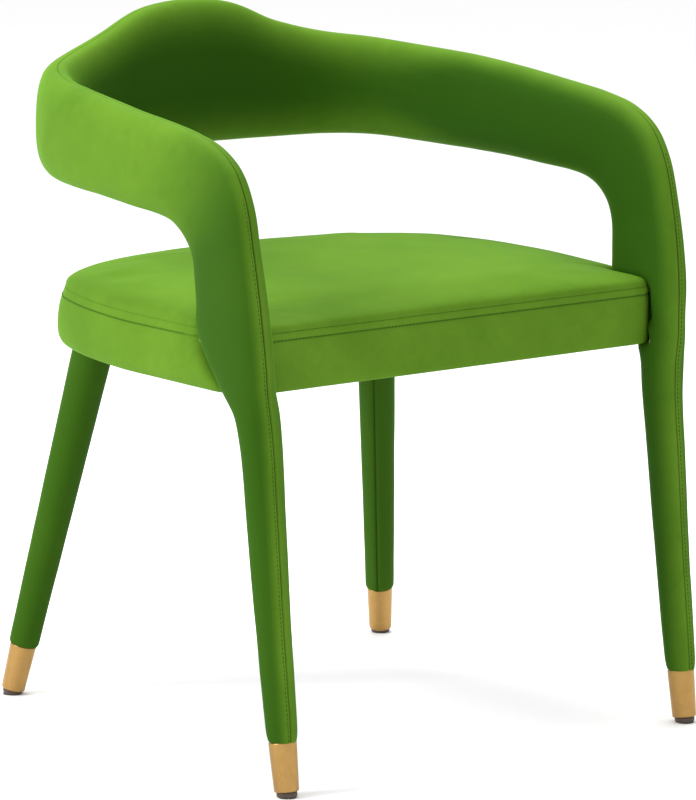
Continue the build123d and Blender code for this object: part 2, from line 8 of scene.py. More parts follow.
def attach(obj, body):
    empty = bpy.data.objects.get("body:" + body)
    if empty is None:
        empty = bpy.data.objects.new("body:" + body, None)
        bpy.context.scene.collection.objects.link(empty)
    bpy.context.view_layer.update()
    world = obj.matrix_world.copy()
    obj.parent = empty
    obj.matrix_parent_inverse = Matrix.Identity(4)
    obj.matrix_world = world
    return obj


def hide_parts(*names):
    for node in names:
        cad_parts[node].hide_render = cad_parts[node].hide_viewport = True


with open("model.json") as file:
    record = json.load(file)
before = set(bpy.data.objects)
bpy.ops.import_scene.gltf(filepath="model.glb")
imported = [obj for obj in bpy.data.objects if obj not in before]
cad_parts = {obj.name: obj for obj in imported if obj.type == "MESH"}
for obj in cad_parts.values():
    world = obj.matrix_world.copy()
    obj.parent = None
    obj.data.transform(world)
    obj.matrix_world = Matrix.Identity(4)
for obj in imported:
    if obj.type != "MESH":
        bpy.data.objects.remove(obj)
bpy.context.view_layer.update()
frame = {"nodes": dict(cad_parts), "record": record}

# Velvet: a short dense pile on a woven back, dyed a warm leaf green. The pile is brushed unevenly
# by hand, so it shades in soft patches. A per-point value paints shade into the colour, much darker
# inside the band and down the legs where the pile catches less light; "seam" paints the shadow in a sewn
# groove.
class Line:
    """A node socket that can be used in sums."""

    def __init__(self, tree, socket):
        self.tree, self.socket = tree, socket

    def sum(self, kind, a, b):
        return self.tree.add("ShaderNodeMath", {"operation": kind}, {0: a, 1: b})["Value"]

    def __add__(self, other): return self.sum("ADD", self, other)
    def __radd__(self, other): return self.sum("ADD", other, self)
    def __sub__(self, other): return self.sum("SUBTRACT", self, other)
    def __rsub__(self, other): return self.sum("SUBTRACT", other, self)
    def __mul__(self, other): return self.sum("MULTIPLY", self, other)
    def __rmul__(self, other): return self.sum("MULTIPLY", other, self)


class Finish:
    """A material being built, with one method that adds any node."""

    def __init__(self, name):
        self.material = bpy.data.materials.new(name)
        self.material.use_nodes = True
        self.nodes, self.links = self.material.node_tree.nodes, self.material.node_tree.links
        self.nodes.clear()

    def add(self, kind, settings, sockets):
        made = self.nodes.new(kind)
        for key, value in settings.items():
            if key == "stops":
                ramp = made.color_ramp
                while len(ramp.elements) < len(value):
                    ramp.elements.new(0.5)
                for stop, (place, colour) in zip(ramp.elements, value):
                    stop.position, stop.color = place, (*colour, 1.0)
            else:
                setattr(made, key, value)
        for key, value in sockets.items():
            if isinstance(value, Line):
                self.links.new(value.socket, made.inputs[key])
            else:
                made.inputs[key].default_value = value
        return {out.name: Line(self, out) for out in made.outputs if out.enabled}

    def mix(self, factor, dark, light):
        return self.add("ShaderNodeMix", {"data_type": "RGBA"}, {0: factor, 6: dark, 7: light})["Result"]

    def bump(self, height, strength, distance):
        sockets = {"Height": height, "Strength": strength, "Distance": distance}
        return self.add("ShaderNodeBump", {}, sockets)["Normal"]

    def close(self, **sockets):
        named = {k.replace("_", " "): v for k, v in sockets.items()}
        shader = self.add("ShaderNodeBsdfPrincipled", {}, named)["BSDF"]
        self.add("ShaderNodeOutputMaterial", {}, {"Surface": shader})
        return self.material


def velvet_finish(name, deep, bright):
    f = Finish(name)
    place = f.add("ShaderNodeTexCoord", {}, {})["Object"]
    patches = f.add("ShaderNodeTexNoise", {}, {"Vector": place, "Scale": 7.0, "Detail": 3.0,
                                               "Distortion": 0.6})["Fac"]
    strokes = f.add("ShaderNodeTexNoise", {}, {"Vector": place, "Scale": 42.0, "Detail": 4.0,
                                               "Distortion": 1.2})["Fac"]
    pile = f.add("ShaderNodeTexNoise", {}, {"Vector": place, "Scale": 1500.0, "Detail": 2.0})["Fac"]
    weave = f.add("ShaderNodeTexNoise", {}, {"Vector": place, "Scale": 420.0, "Detail": 3.0})["Fac"]
    seam_shadow = f.add("ShaderNodeAttribute", {"attribute_name": "seam"}, {})["Fac"]
    shade = patches * 0.9 + strokes * 0.35 + pile * 0.28 + weave * 0.12 - 0.33
    green = f.mix(shade, (*deep, 1), (*bright, 1))
    # Painted shade: a per-point value darkens the green to a much darker copy where less light falls.
    nap = f.add("ShaderNodeAttribute", {"attribute_name": "nap"}, {})["Fac"]
    green = f.mix(nap, green, (deep[0] * 0.27, deep[1] * 0.44, deep[2] * 0.18, 1))
    # Painted shadow: the seam value darkens the green in each sewn groove.
    green = f.mix(seam_shadow * 0.75, green, (deep[0] * 0.25, deep[1] * 0.25, deep[2] * 0.25, 1))
    rough = 0.62 + strokes * 0.22
    normal = f.bump(pile * 0.6 + weave * 0.5 + strokes * 0.9, 0.35, 0.0006)
    return f.close(Base_Color=green, Roughness=rough, Normal=normal, Sheen_Weight=0.25, Sheen_Roughness=0.3,
                   Sheen_Tint=(0.28, 0.80, 0.05, 1), Specular_IOR_Level=0.06)


velvet = velvet_finish("leaf_green_velvet", (0.050, 0.132, 0.005), (0.122, 0.245, 0.019))


# Band cover: two long velvet panels, one outside and one inside, sewn to each other along the
# top of the back and arms, down the front of the posts and legs, and back up their rear edge.
# The sewn tube is pulled over foam on a bent wooden frame, and its ends are turned in at the hems.
set_back = -30.34
half_wide, back_y, front_y = 277.5, 310.0, -237.0
top_z, shoulder_z, arm_z, arm_deep, back_low_z = 765.0, 711.0, 692.0, 101.0, 600.0
band_thick, post_deep, post_thick = 45.0, 106.0, 46.0
seat_low_z, seat_seam_z = 415.5, 478.0
leg_x, leg_top_y, leg_hem_y, leg_top_d, leg_hem_d, hem_z = 269.3, -213.0, -253.5, 46.5, 33.8, 58.0


def band_rows():
    """Outer rail, inner rail, thickness and squareness, from mid back to the left front hem."""
    w, b, f, t, p = half_wide, back_y, front_y, band_thick, post_thick
    top, sh, arm, under, low = top_z, shoulder_z, arm_z, back_low_z, arm_z - arm_deep
    back, seam, floor = f + post_deep, seat_seam_z, seat_low_z
    rows = [
        (0, b, top, 0, b + 4, under, t, 2.8),
        (0.22 * w, b - 1, top - 0.13 * (top - sh), 0.22 * w, b + 2, under, t, 2.8),
        (0.42 * w, b - 8, top - 0.56 * (top - sh), 0.435 * w, b - 6, under, t, 2.8),
        (0.61 * w, 0.91 * b, sh + 9, 0.63 * w, 0.915 * b, under + 1.5, t, 2.8),
        (0.772 * w, 0.79 * b, sh + 2, 0.79 * w, 0.79 * b, under + 1, t, 2.8),
        (0.875 * w, 0.625 * b, sh - 4, 0.893 * w, 0.625 * b, under - 3, t, 2.8),
        (0.935 * w, 0.42 * b, sh - 8, 0.95 * w, 0.42 * b, under - 5, t, 2.8),
        (0.966 * w, 0.21 * b, arm + 6, 0.975 * w, 0.21 * b, low + 3, t, 2.8),
        (0.982 * w, 0, arm, 0.989 * w, 0, low, t, 2.8),
        (0.986 * w, -55, arm - 5, 0.997 * w, -50, low - 2, t - 1, 2.8),
        (0.99 * w, f + 131, arm - 11, w + 1, back + 48, low - 7, t - 2, 2.8),
        (0.997 * w, f + 87, arm - 21, w + 2, back + 27, low - 18, t - 3, 2.8),
        (w, f + 53, arm - 41, w + 2, back + 14, low - 32, t - 4, 2.8),
        (w + 1, f + 32, arm - 73, w + 2, back + 8, low - 46, t - 4, 2.8),
        (w + 2, f + 19, arm - 117, w + 2, back + 6, low - 63, t - 4, 2.8),
        (w + 1.5, f + 9, seam + 47, w + 1, back + 4, seam + 27, p - 2, 2.8),
        (w, f + 3, seam, w + 1, back + 1, seam, p + 1, 2.8),
        (w - 1.5, f + 1, seam - 28, w - 1, back - 11, seam - 26, p + 1, 2.5),
        (w - 3, f, floor + 7, w - 2, back - 35, floor + 9, p, 2.3),
        (leg_x + 2, f, floor - 18, leg_x + 2.5, back - 57, floor - 16, leg_top_d, 2.15),
    ]
    for k, z in ((0.11, floor - 48), (0.33, 299.2), (0.66, 180.4), (1.0, hem_z)):
        d = leg_top_d + k * (leg_hem_d - leg_top_d)
        y = leg_top_y + (0.75 * k + 0.25 * k * k) * (leg_hem_y - leg_top_y)
        rows.append((leg_x, y - d / 2, z, leg_x, y + d / 2, z, d, 2.0))
    return rows


def smooth_rows(rows, count):
    """The rows redrawn as count evenly spaced ones on a smooth curve through them."""
    step = [max(math.dist(p[0:3], q[0:3]), math.dist(p[3:6], q[3:6])) for p, q in zip(rows, rows[1:])]
    rate = [[(y - x) / h for x, y in zip(p, q)] for p, q, h in zip(rows, rows[1:], step)]
    slope = [rate[0]]
    for i in range(1, len(rate)):
        w = step[i] / (step[i - 1] + step[i])
        slope.append([w * a + (1 - w) * b for a, b in zip(rate[i - 1], rate[i])])
    slope.append(rate[-1])
    out, i, start = [], 0, 0.0
    for k in range(count):
        s = sum(step) * k / (count - 1)
        while i < len(step) - 1 and s > start + step[i]:
            start, i = start + step[i], i + 1
        h, u = step[i], (s - start) / step[i]
        out.append([(2 * u ** 3 - 3 * u ** 2 + 1) * a + (u ** 3 - 2 * u ** 2 + u) * h * ma
                    + (3 * u ** 2 - 2 * u ** 3) * b + (u ** 3 - u ** 2) * h * mb
                    for a, ma, b, mb in zip(rows[i], slope[i], rows[i + 1], slope[i + 1])])
    return out


def band_sections(count):
    """Centre, half height, outward normal, half thickness and squareness, hem to hem."""
    rows = band_rows()
    other = [(-r[0], r[1], r[2], -r[3], r[4], r[5], r[6], r[7]) for r in reversed(rows[1:])]
    rows = smooth_rows(other + rows, count)
    mids = [(Vector(r[0:3]) + Vector(r[3:6])) / 2 for r in rows]
    out = []
    for i, r in enumerate(rows):
        run = mids[min(i + 1, count - 1)] - mids[max(i - 1, 0)]
        half = (Vector(r[0:3]) - Vector(r[3:6])) / 2
        out.append((mids[i], half, half.cross(run).normalized(), r[6] / 2, r[7]))
    return out


def sewn_sheet(name, grid, seam_shadow_marks, closed=False, thick=0.0013, capped=False, painted_shade=None):
    """A piece of cloth from rows of points in millimetres, given its thickness on the inside."""
    rows, cols = len(grid), len(grid[0])
    verts = [(p.x / 1000, (p.y + set_back) / 1000, p.z / 1000) for row in grid for p in row]
    wide = cols if closed else cols - 1
    faces = [(r * cols + c, r * cols + (c + 1) % cols, (r + 1) * cols + (c + 1) % cols, (r + 1) * cols + c)
             for r in range(rows - 1) for c in range(wide)]
    if capped:
        verts.append([sum(v[i] for v in verts[-cols:]) / cols for i in range(3)])
        last = (rows - 1) * cols
        faces += [(last + c, last + (c + 1) % cols, rows * cols) for c in range(cols)]
        seam_shadow_marks = seam_shadow_marks + [[0.0]]
    mesh = bpy.data.meshes.new(name)
    mesh.from_pydata(verts, [], faces)
    mesh.polygons.foreach_set("use_smooth", [True] * len(faces))
    # Painted shadow along the seams, one value per point.
    mark = mesh.attributes.new("seam", "FLOAT", "POINT")
    mark.data.foreach_set("value", [m for row in seam_shadow_marks for m in row])
    mesh.materials.append(velvet)
    # Painted shade, one value per point, for the velvet to darken its colour by.
    if painted_shade:
        nap = mesh.attributes.new("nap", "FLOAT", "POINT")
        nap.data.foreach_set("value", [v for row in painted_shade for v in row])
    piece = bpy.data.objects.new(name, mesh)
    bpy.context.collection.objects.link(piece)
    solid = piece.modifiers.new("cloth thickness", "SOLIDIFY")
    solid.thickness, solid.offset = thick, -1
    soft = piece.modifiers.new("soft", "SUBSURF")
    soft.levels = soft.render_levels = 1
    return piece


quarter_turn = [0, 2, 4.5, 8, 13, 20, 29, 40, 52, 65, 78, 90]
fine_turn = quarter_turn + [180 - deg for deg in quarter_turn[-2::-1]]


def soft_step(value, low, high):
    u = min(max((value - low) / (high - low), 0.0), 1.0)
    return u * u * (3 - 2 * u)


def band_panel(name, side):
    sections = band_sections(300)
    grid, marks, painted_shade = [], [], []
    for i, (mid, half, normal, ht, e) in enumerate(sections):
        near_hem = min(i, len(sections) - 1 - i)
        tuck = {0: 1.7, 1: 0.25}.get(near_hem, 0.0)
        row, mark, shade_row, arc = [], [], [], []
        for deg in fine_turn:
            c, s = math.cos(math.radians(deg)), math.sin(math.radians(deg))
            p = half * math.copysign(abs(c) ** (2 / e), c) + normal * (side * ht * abs(s) ** (2 / e))
            arc.append(p)
        length = [0.0]
        for p, q in zip(arc, arc[1:]):
            length.append(length[-1] + (q - p).length)
        for p, d in zip(arc, length):
            off = min(d, length[-1] - d)
            out = (p - half * (p.dot(half) / half.length_squared) * 0.55).normalized()
            pos = mid + p
            show = 0.04 + 0.96 / (1 + math.exp((mid.z - 600) / 12)) * (1.0 if d < length[-1] / 2 else 0.45)
            dip = show * (0.75 * math.exp(-(off / 1.3) ** 2) - 0.2 * math.exp(-((off - 4.5) / 2.5) ** 2))
            pucker = 0.35 * math.exp(-(off / 9) ** 2) * noise.noise(pos / 9.0)
            drift = 0.45 * noise.noise(pos / 60.0) + 0.18 * noise.noise(pos / 21.0)
            placed = pos + out * (drift + pucker * (0.3 + show) - dip - tuck)
            if side < 0 and placed.z < 500 and placed.y < -100:
                press = soft_step(placed.z, 413, 419) * soft_step(-placed.z, -486, -480)
                press *= soft_step(placed.y, -206.6, -204.8) * soft_step(-placed.y, 121, 131)
                gap = 267.7 - abs(placed.x)
                placed.x += math.copysign(press * max(gap, 0.0), placed.x)
            row.append(placed)
            # Painted shade: the inner panel is darkened all over except near the sewn edge, and the outer
            # panel low on the front of the post and leg, also lighter near the seam.
            low_front_shade = 0.86 * soft_step(-mid.z, -690, -560) * soft_step(-mid.y, 40, 170)
            shade_row.append(0.92 * soft_step(off, -6, 30 + 32 * soft_step(mid.y, 100, 250)) if side < 0
                           else low_front_shade * soft_step(off, 0, 16))
            # Painted shadow along the seam line: strong on the posts and legs, faint along the top.
            mark.append(show * 0.6 * math.exp(-(off / 1.0) ** 2))
        grid.append(row)
        marks.append(mark)
        painted_shade.append(shade_row)
    if side > 0:
        grid, marks, painted_shade = [[r[::-1] for r in rows] for rows in (grid, marks, painted_shade)]
    piece = sewn_sheet(name, grid, marks, painted_shade=painted_shade)
    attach(piece, "root")
    return piece


band_outside = band_panel("band_outer_panel", 1)
band_inside = band_panel("band_inner_panel", -1)
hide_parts("band_outer_cloth", "back_foam")
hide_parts("band_inner_cloth", "left_arm_foam", "right_arm_foam", "left_front_leg_foam",
            "right_front_leg_foam")


# Seat cover: a crowned top panel sewn to a plain side strip, topstitched below the seam. The
# strip steps in beside each post, and its lower edge is folded under the frame and stapled.
seat_wide, seat_front_y, seat_rear_y, corner_r, seat_neck = 300.0, -204.0, 266.0, 16.0, 267.0


def post_rear(z):
    """Rear edge of the post at height z."""
    known = [(405, -185), (418, -175), (427, -166), (440, -154), (452, -142), (465, -134),
             (478, -130.5), (520, -128)]
    for (z0, y0), (z1, y1) in zip(known, known[1:]):
        if z <= z1:
            return y0 + (y1 - y0) * max(0, (z - z0)) / (z1 - z0)
    return known[-1][1]


def seat_ring(z, lean, inset=0.0):
    """Plan of the seat at height z as a closed run of points, from mid front round the left side."""
    w, y0, y1 = seat_wide - lean - inset, seat_front_y + inset, seat_rear_y - lean - inset
    neck = seat_neck - inset
    r = corner_r
    notch = max(y0 + r + 1, post_rear(z) - 1.0) + inset
    half = [Vector((x * (neck - r) / 16, y0, z)) for x in range(16)]
    half += [Vector((neck - r + r * math.sin(a), y0 + r - r * math.cos(a), z))
             for a in [math.radians(11.25 * k) for k in range(9)]]
    half += [Vector((neck, y0 + r + (notch - 5 - y0 - r) * k / 6, z)) for k in range(1, 6)]
    edge_x = w - 8
    half += [Vector((neck + 5 - 5 * math.cos(a), notch - 5 + 8 * math.sin(a), z))
             for a in [math.radians(22.5 * k) for k in range(1, 5)]]
    half += [Vector((neck + 5 + (edge_x - 14 - neck) * k / 6, notch + 3, z)) for k in range(1, 6)]
    half += [Vector((edge_x - 9 + 12 * math.sin(a), notch + 15 - 12 * math.cos(a), z))
             for a in [math.radians(18 * k) for k in range(1, 5)]]
    side = [(edge_x + 3.5, notch + 16), (w - 2, -70), (w, 10), (w * 0.95, 0.43 * y1), (w * 0.848, 0.715 * y1),
            (w * 0.62, 0.905 * y1), (w * 0.33, y1 - 3), (0, y1), (-w * 0.33, y1 - 3)]
    for a, b, c, d in zip([side[0]] + side, side, side[1:], side[2:]):
        for k in range(8):
            u = k / 8
            turn_in = [2 * a[i] - 5 * b[i] + 4 * c[i] - d[i] for i in (0, 1)]
            turn_out = [3 * b[i] - a[i] - 3 * c[i] + d[i] for i in (0, 1)]
            at = [0.5 * (2 * b[i] + (c[i] - a[i]) * u + turn_in[i] * u * u + turn_out[i] * u ** 3)
                  for i in (0, 1)]
            half.append(Vector(at + [z]))
    half.append(Vector((0, y1, z)))
    return half + [Vector((-p.x, p.y, p.z)) for p in half[-2:0:-1]]


def side_strip():
    profile = [
        (479.3, 8.05, 4.5), (479.0, 8.05, 2.0), (478.6, 8.05, 0.35), (478.2, 7.8, 0.2), (477, 7.4, 0.05),
        (474.5, 6.6, 0), (471.9, 5.7, 0.25), (470.4, 5.2, 0.8), (469.0, 4.7, 0.25), (464, 3.2, 0),
        (458, 1.9, 0), (450, 0.8, 0), (441, 0.1, 0), (432, 0.1, 0), (425.5, 1.1, 0), (420.5, 3.2, 0.2),
        (417.4, 6.0, 0.9), (416.0, 9.0, 2.4), (415.6, 12.0, 5.0), (415.5, 17.0, 10.0), (415.5, 26.0, 19.0)]
    grid, marks = [], []
    for z, lean, dent in profile:
        ring = seat_ring(z, max(lean - dent, 0), dent)
        grid.append([p + Vector((p.x, p.y - 20, 0)).normalized() * 0.5 * noise.noise(p / 70.0) for p in ring])
        # Painted shadow: a faint line at the seat seam and a darker one along the topstitching.
        mark = 0.06 * math.exp(-((z - 478.6) / 1.0) ** 2) + 0.55 * math.exp(-((z - 470.4) / 0.8) ** 2)
        marks.append([mark] * len(ring))
    return grid, marks


strip_grid, strip_marks = side_strip()
seat_side = sewn_sheet("seat_side_strip", [r[::-1] for r in strip_grid], strip_marks, closed=True)
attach(seat_side, "root")
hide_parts("seat_side_cloth")


def top_panel():
    rim, plain = seat_ring(478.7, 7.7, 0.35), []
    centre = Vector((0, 20, 0))
    for p in rim:
        a = math.atan2(p.x, -(p.y - 32))
        wide, deep = 282.0, 226.0
        k = (abs(math.sin(a) / wide) ** 2.5 + abs(math.cos(a) / deep) ** 2.5) ** (-1 / 2.5)
        plain.append(Vector((k * math.sin(a), 32 - k * math.cos(a), 478.7)))
    steps = [1, 0.996, 0.99, 0.98, 0.965, 0.945, 0.92, 0.89, 0.85, 0.8, 0.74, 0.67, 0.59,
             0.5, 0.4, 0.3, 0.2, 0.1, 0.02]
    grid, marks = [], []
    for s in steps:
        lift = 21.5 * (1 - s ** 9.0) ** 0.4
        even = soft_step(1 - s, 0.004, 0.1)
        grid.append([centre + (p.lerp(q, even) - centre) * s for p, q in zip(rim, plain)])
        for p in grid[-1]:
            p.z = 478.7 + lift
        # Painted shadow: a faint line along the seam round the rim.
        marks.append([0.06 * math.exp(-((1 - s) / 0.004) ** 2)] * len(rim))
    return grid, marks


def swelled(grid):
    """The crown after air pressure under cloth held at the seam, as a height for each point."""
    rows, cols = len(grid), len(grid[0])
    low = [Vector((p.x, p.y, 456.0)) for p in grid[0]]
    rings = [low] + grid
    verts = [(p.x / 1000, p.y / 1000, p.z / 1000) for ring in rings for p in ring]
    verts.append((0, 0.02, grid[-1][0].z / 1000))
    faces = [(r * cols + c, r * cols + (c + 1) % cols, (r + 1) * cols + (c + 1) % cols, (r + 1) * cols + c)
             for r in range(rows) for c in range(cols)]
    faces += [(rows * cols + c, rows * cols + (c + 1) % cols, len(verts) - 1) for c in range(cols)]
    faces.append(tuple(range(cols))[::-1])
    mesh = bpy.data.meshes.new("pad")
    mesh.from_pydata(verts, [], faces)
    pad = bpy.data.objects.new("pad", mesh)
    bpy.context.collection.objects.link(pad)
    remesh = pad.modifiers.new("even", "REMESH")
    remesh.mode, remesh.voxel_size = "VOXEL", 0.006
    even = bpy.data.meshes.new_from_object(pad.evaluated_get(bpy.context.evaluated_depsgraph_get()))
    pad.modifiers.clear()
    pad.data = even
    held = pad.vertex_groups.new(name="held")
    held.add([v.index for v in even.vertices if v.co.z < 0.4815], 1.0, "REPLACE")
    cloth = pad.modifiers.new("cloth", "CLOTH")
    cloth.settings.use_pressure, cloth.settings.uniform_pressure_force = True, 4.0
    cloth.settings.vertex_group_mass, cloth.settings.quality = "held", 6
    cloth.settings.bending_stiffness = 20.0
    cloth.settings.effector_weights.gravity = 0.0
    for step in range(1, 21):
        bpy.context.scene.frame_set(step)
    moved = bpy.data.meshes.new_from_object(pad.evaluated_get(bpy.context.evaluated_depsgraph_get()))
    bpy.context.scene.frame_set(1)
    cap, points = 0.004, []
    for a, b in zip(even.vertices, moved.vertices):
        step = b.co - a.co
        points.append(a.co + step * min(1.0, cap / max(step.length, 1e-9)))
    tree = BVHTree.FromPolygons(points, [tuple(f.vertices) for f in even.polygons])
    bpy.data.objects.remove(pad)
    down = Vector((0, 0, -1))

    def height(p):
        hit = tree.ray_cast(Vector((p.x / 1000, p.y / 1000, 0.7)), down)[0]
        return (hit or p / 1000).z * 1000

    return height


panel_grid, panel_marks = top_panel()
height = swelled(panel_grid)
for k, ring in enumerate(panel_grid):
    for p in ring:
        p.z += 0.6 * soft_step(k, 4, 9) * (height(p) - p.z)
seat_top = sewn_sheet("seat_top_panel", panel_grid, panel_marks, closed=True, capped=True)
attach(seat_top, "root")
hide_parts("seat_top_cloth", "seat_foam")


# Topstitching: one row of small lock stitches in thread of the cloth's colour, a finger's breadth
# below the seat seam, holding the seam allowance flat.
def thread_finish():
    f = Finish("green_thread")
    place = f.add("ShaderNodeTexCoord", {}, {})["Object"]
    twist = f.add("ShaderNodeTexNoise", {}, {"Vector": place, "Scale": 900.0, "Detail": 2.0})["Fac"]
    green = f.mix(twist, (0.012, 0.045, 0.003, 1), (0.05, 0.12, 0.01, 1))
    return f.close(Base_Color=green, Roughness=0.7 + twist * 0.2, Normal=f.bump(twist, 0.4, 0.0002),
                   Specular_IOR_Level=0.05)


thread = thread_finish()


def stitch_tree():
    """Lays one stitch along a path every pitch."""
    tree = bpy.data.node_groups.new("stitch run", "GeometryNodeTree")
    face = tree.interface
    face.new_socket("Path", in_out="INPUT", socket_type="NodeSocketGeometry")
    for title, value in (("Pitch", 0.0046), ("Stitch length", 0.0034), ("Thread width", 0.0011)):
        face.new_socket(title, in_out="INPUT", socket_type="NodeSocketFloat").default_value = value
    face.new_socket("Stitches", in_out="OUTPUT", socket_type="NodeSocketGeometry")
    n, link = tree.nodes, tree.links.new
    source, result = n.new("NodeGroupInput"), n.new("NodeGroupOutput")
    evenly = n.new("GeometryNodeResampleCurve")
    evenly.mode = "LENGTH"
    ball = n.new("GeometryNodeMeshUVSphere")
    ball.inputs["Segments"].default_value, ball.inputs["Rings"].default_value = 6, 5
    ball.inputs["Radius"].default_value = 0.5
    size = n.new("ShaderNodeCombineXYZ")
    shape = n.new("GeometryNodeTransform")
    heading, turn = n.new("GeometryNodeInputTangent"), n.new("FunctionNodeAlignRotationToVector")
    turn.axis = "Z"
    lay = n.new("GeometryNodeInstanceOnPoints")
    real = n.new("GeometryNodeRealizeInstances")
    paint = n.new("GeometryNodeSetMaterial")
    paint.inputs["Material"].default_value = thread
    link(source.outputs["Path"], evenly.inputs["Curve"])
    link(source.outputs["Pitch"], evenly.inputs["Length"])
    link(source.outputs["Thread width"], size.inputs["X"])
    link(source.outputs["Thread width"], size.inputs["Y"])
    link(source.outputs["Stitch length"], size.inputs["Z"])
    link(ball.outputs["Mesh"], shape.inputs["Geometry"])
    link(size.outputs["Vector"], shape.inputs["Scale"])
    link(heading.outputs["Tangent"], turn.inputs["Vector"])
    link(evenly.outputs["Curve"], lay.inputs["Points"])
    link(shape.outputs["Geometry"], lay.inputs["Instance"])
    link(turn.outputs["Rotation"], lay.inputs["Rotation"])
    link(lay.outputs["Instances"], real.inputs["Geometry"])
    link(real.outputs["Geometry"], paint.inputs["Geometry"])
    link(paint.outputs["Geometry"], result.inputs["Stitches"])
    return tree


stitch_run = stitch_tree()


def stitches(name, paths):
    """One piece of stitches along open paths of points in millimetres."""
    curve = bpy.data.curves.new(name, "CURVE")
    curve.dimensions = "3D"
    for path in paths:
        spline = curve.splines.new("POLY")
        spline.points.add(len(path) - 1)
        for point, p in zip(spline.points, path):
            point.co = (p.x / 1000, (p.y + set_back) / 1000, p.z / 1000, 1)
    run = bpy.data.objects.new(name + " path", curve)
    bpy.context.collection.objects.link(run)
    run.modifiers.new("stitches", "NODES").node_group = stitch_run
    bpy.context.view_layer.update()
    mesh = bpy.data.meshes.new_from_object(run.evaluated_get(bpy.context.evaluated_depsgraph_get()))
    mesh.name = name
    bpy.data.objects.remove(run)
    piece = bpy.data.objects.new(name, mesh)
    bpy.context.collection.objects.link(piece)
    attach(piece, "root")
    return piece


low_row = [p + Vector((p.x, p.y - 20, 0)).normalized() * (0.5 * noise.noise(p / 70.0) + 0.05)
           for p in seat_ring(470.4, 4.75, 0.45)]
count = len(low_row)
front_run = [low_row[k % count] for k in range(-22, 23)]
around = [low_row[k % count] for k in range(46, count - 45)]
stitches("seat_topstitch", [front_run, around])


def ridge_path(mirror):
    """Line of the seam on the front of the left post and leg, just outward of its ridge."""
    path = []
    for mid, half, normal, ht, e in band_sections(600)[300:]:
        if 62 < mid.z < 585:
            across = (3.2 / ht) ** e
            base = mid + half * (1 - across) ** (1 / e) + normal * 3.2 + half.normalized() * 0.15
            path.append(Vector((-base.x, base.y, base.z)) if mirror else base)
    return path


stitches("post_seam_stitches", [ridge_path(False), ridge_path(True)])


# Rear legs: straight turned tapers in a sleeve of the same velvet over thin foam, with one seam
# on the inner front. The frame's threaded studs hold them, square under the seat.
rear_foot, rear_top, rear_top_d, rear_hem_d, foot_z = (257.4, 284.9), (192.0, 207.0), 46.0, 33.5, 6.0


def rear_axis(z):
    u = (z - foot_z) / (seat_low_z - foot_z)
    x, y = [a + u * (b - a) for a, b in zip(rear_foot, rear_top)]
    return Vector((x, y, z))


def front_axis(z):
    return Vector((leg_x, leg_hem_y + 1.25 * (leg_top_y - leg_hem_y) / (seat_low_z - hem_z) * (z - hem_z), z))


def leg_sleeve(name, mirror):
    low, high = rear_axis(hem_z), rear_axis(seat_low_z - 0.9)
    up = (high - low).normalized()
    inward = Vector((-1, -1, 0))
    first = (inward - up * inward.dot(up)).normalized()
    second = up.cross(first)
    turns = [0, 1.5, 3.5, 6, 10, 16, 24] + [34 + 13.27 * k for k in range(23)]
    turns = turns[:29] + [336, 344, 350, 354, 356.5, 358.5]
    steps = [0, 0.0035, 0.009] + [0.02 + 0.98 * k / 60 for k in range(61)]
    grid, marks = [], []
    for s in steps:
        centre = low + (high - low) * s
        r = (rear_hem_d + s * (rear_top_d - rear_hem_d)) / 2
        tuck = {0: 1.8, 0.0035: 0.35}.get(s, 0.0)
        row, mark = [], []
        for deg in turns:
            a = math.radians(deg)
            off = min(deg, 360 - deg) * math.pi / 180 * r
            out = first * math.cos(a) + second * math.sin(a)
            base = centre + out * r
            dip = 1.1 * math.exp(-(off / 1.3) ** 2) - 0.3 * math.exp(-((off - 4.0) / 2.0) ** 2)
            p = base + out * (0.3 * noise.noise(base / 40.0) + 0.1 * noise.noise(base / 14.0) - dip - tuck)
            if s == 1:
                p += up * ((seat_low_z - 0.9 - p.z) / up.z)
            row.append(Vector((-p.x, p.y, p.z)) if mirror else p)
            # Painted shadow along the sleeve's seam.
            mark.append(math.exp(-(off / 1.1) ** 2))
        grid.append(row[::-1] if mirror else row)
        marks.append(mark[::-1] if mirror else mark)
    # Painted shade: the whole sleeve is darkened by the same amount.
    piece = sewn_sheet(name, grid, marks, closed=True, painted_shade=[[0.78] * len(row) for row in marks])
    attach(piece, "root")
    return piece


for side in ("left", "right"):
    sleeve = leg_sleeve(side + "_rear_leg_sleeve", side == "right")
    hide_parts(side + "_rear_leg_cloth", side + "_rear_leg_foam")


# Ferrules: thin drawn brass cups, brushed along their length and lacquered, pushed on the turned
# ends of the legs with the velvet's hem just above them.
def brass_finish():
    f = Finish("brushed_brass")
    place = f.add("ShaderNodeTexCoord", {}, {})["Object"]
    drawn = f.add("ShaderNodeMapping", {}, {"Vector": place, "Scale": (2600.0, 2600.0, 26.0)})["Vector"]
    lines = f.add("ShaderNodeTexNoise", {}, {"Vector": drawn, "Scale": 1.0, "Detail": 3.0})["Fac"]
    cloud = f.add("ShaderNodeTexNoise", {}, {"Vector": place, "Scale": 90.0, "Detail": 3.0})["Fac"]
    tone = f.mix(lines * 0.6 + cloud * 0.4, (0.25, 0.135, 0.036, 1), (0.50, 0.31, 0.11, 1))
    return f.close(Base_Color=tone, Metallic=1.0, Roughness=0.24 + lines * 0.14 + cloud * 0.06,
                   Normal=f.bump(lines, 0.18, 0.00012))


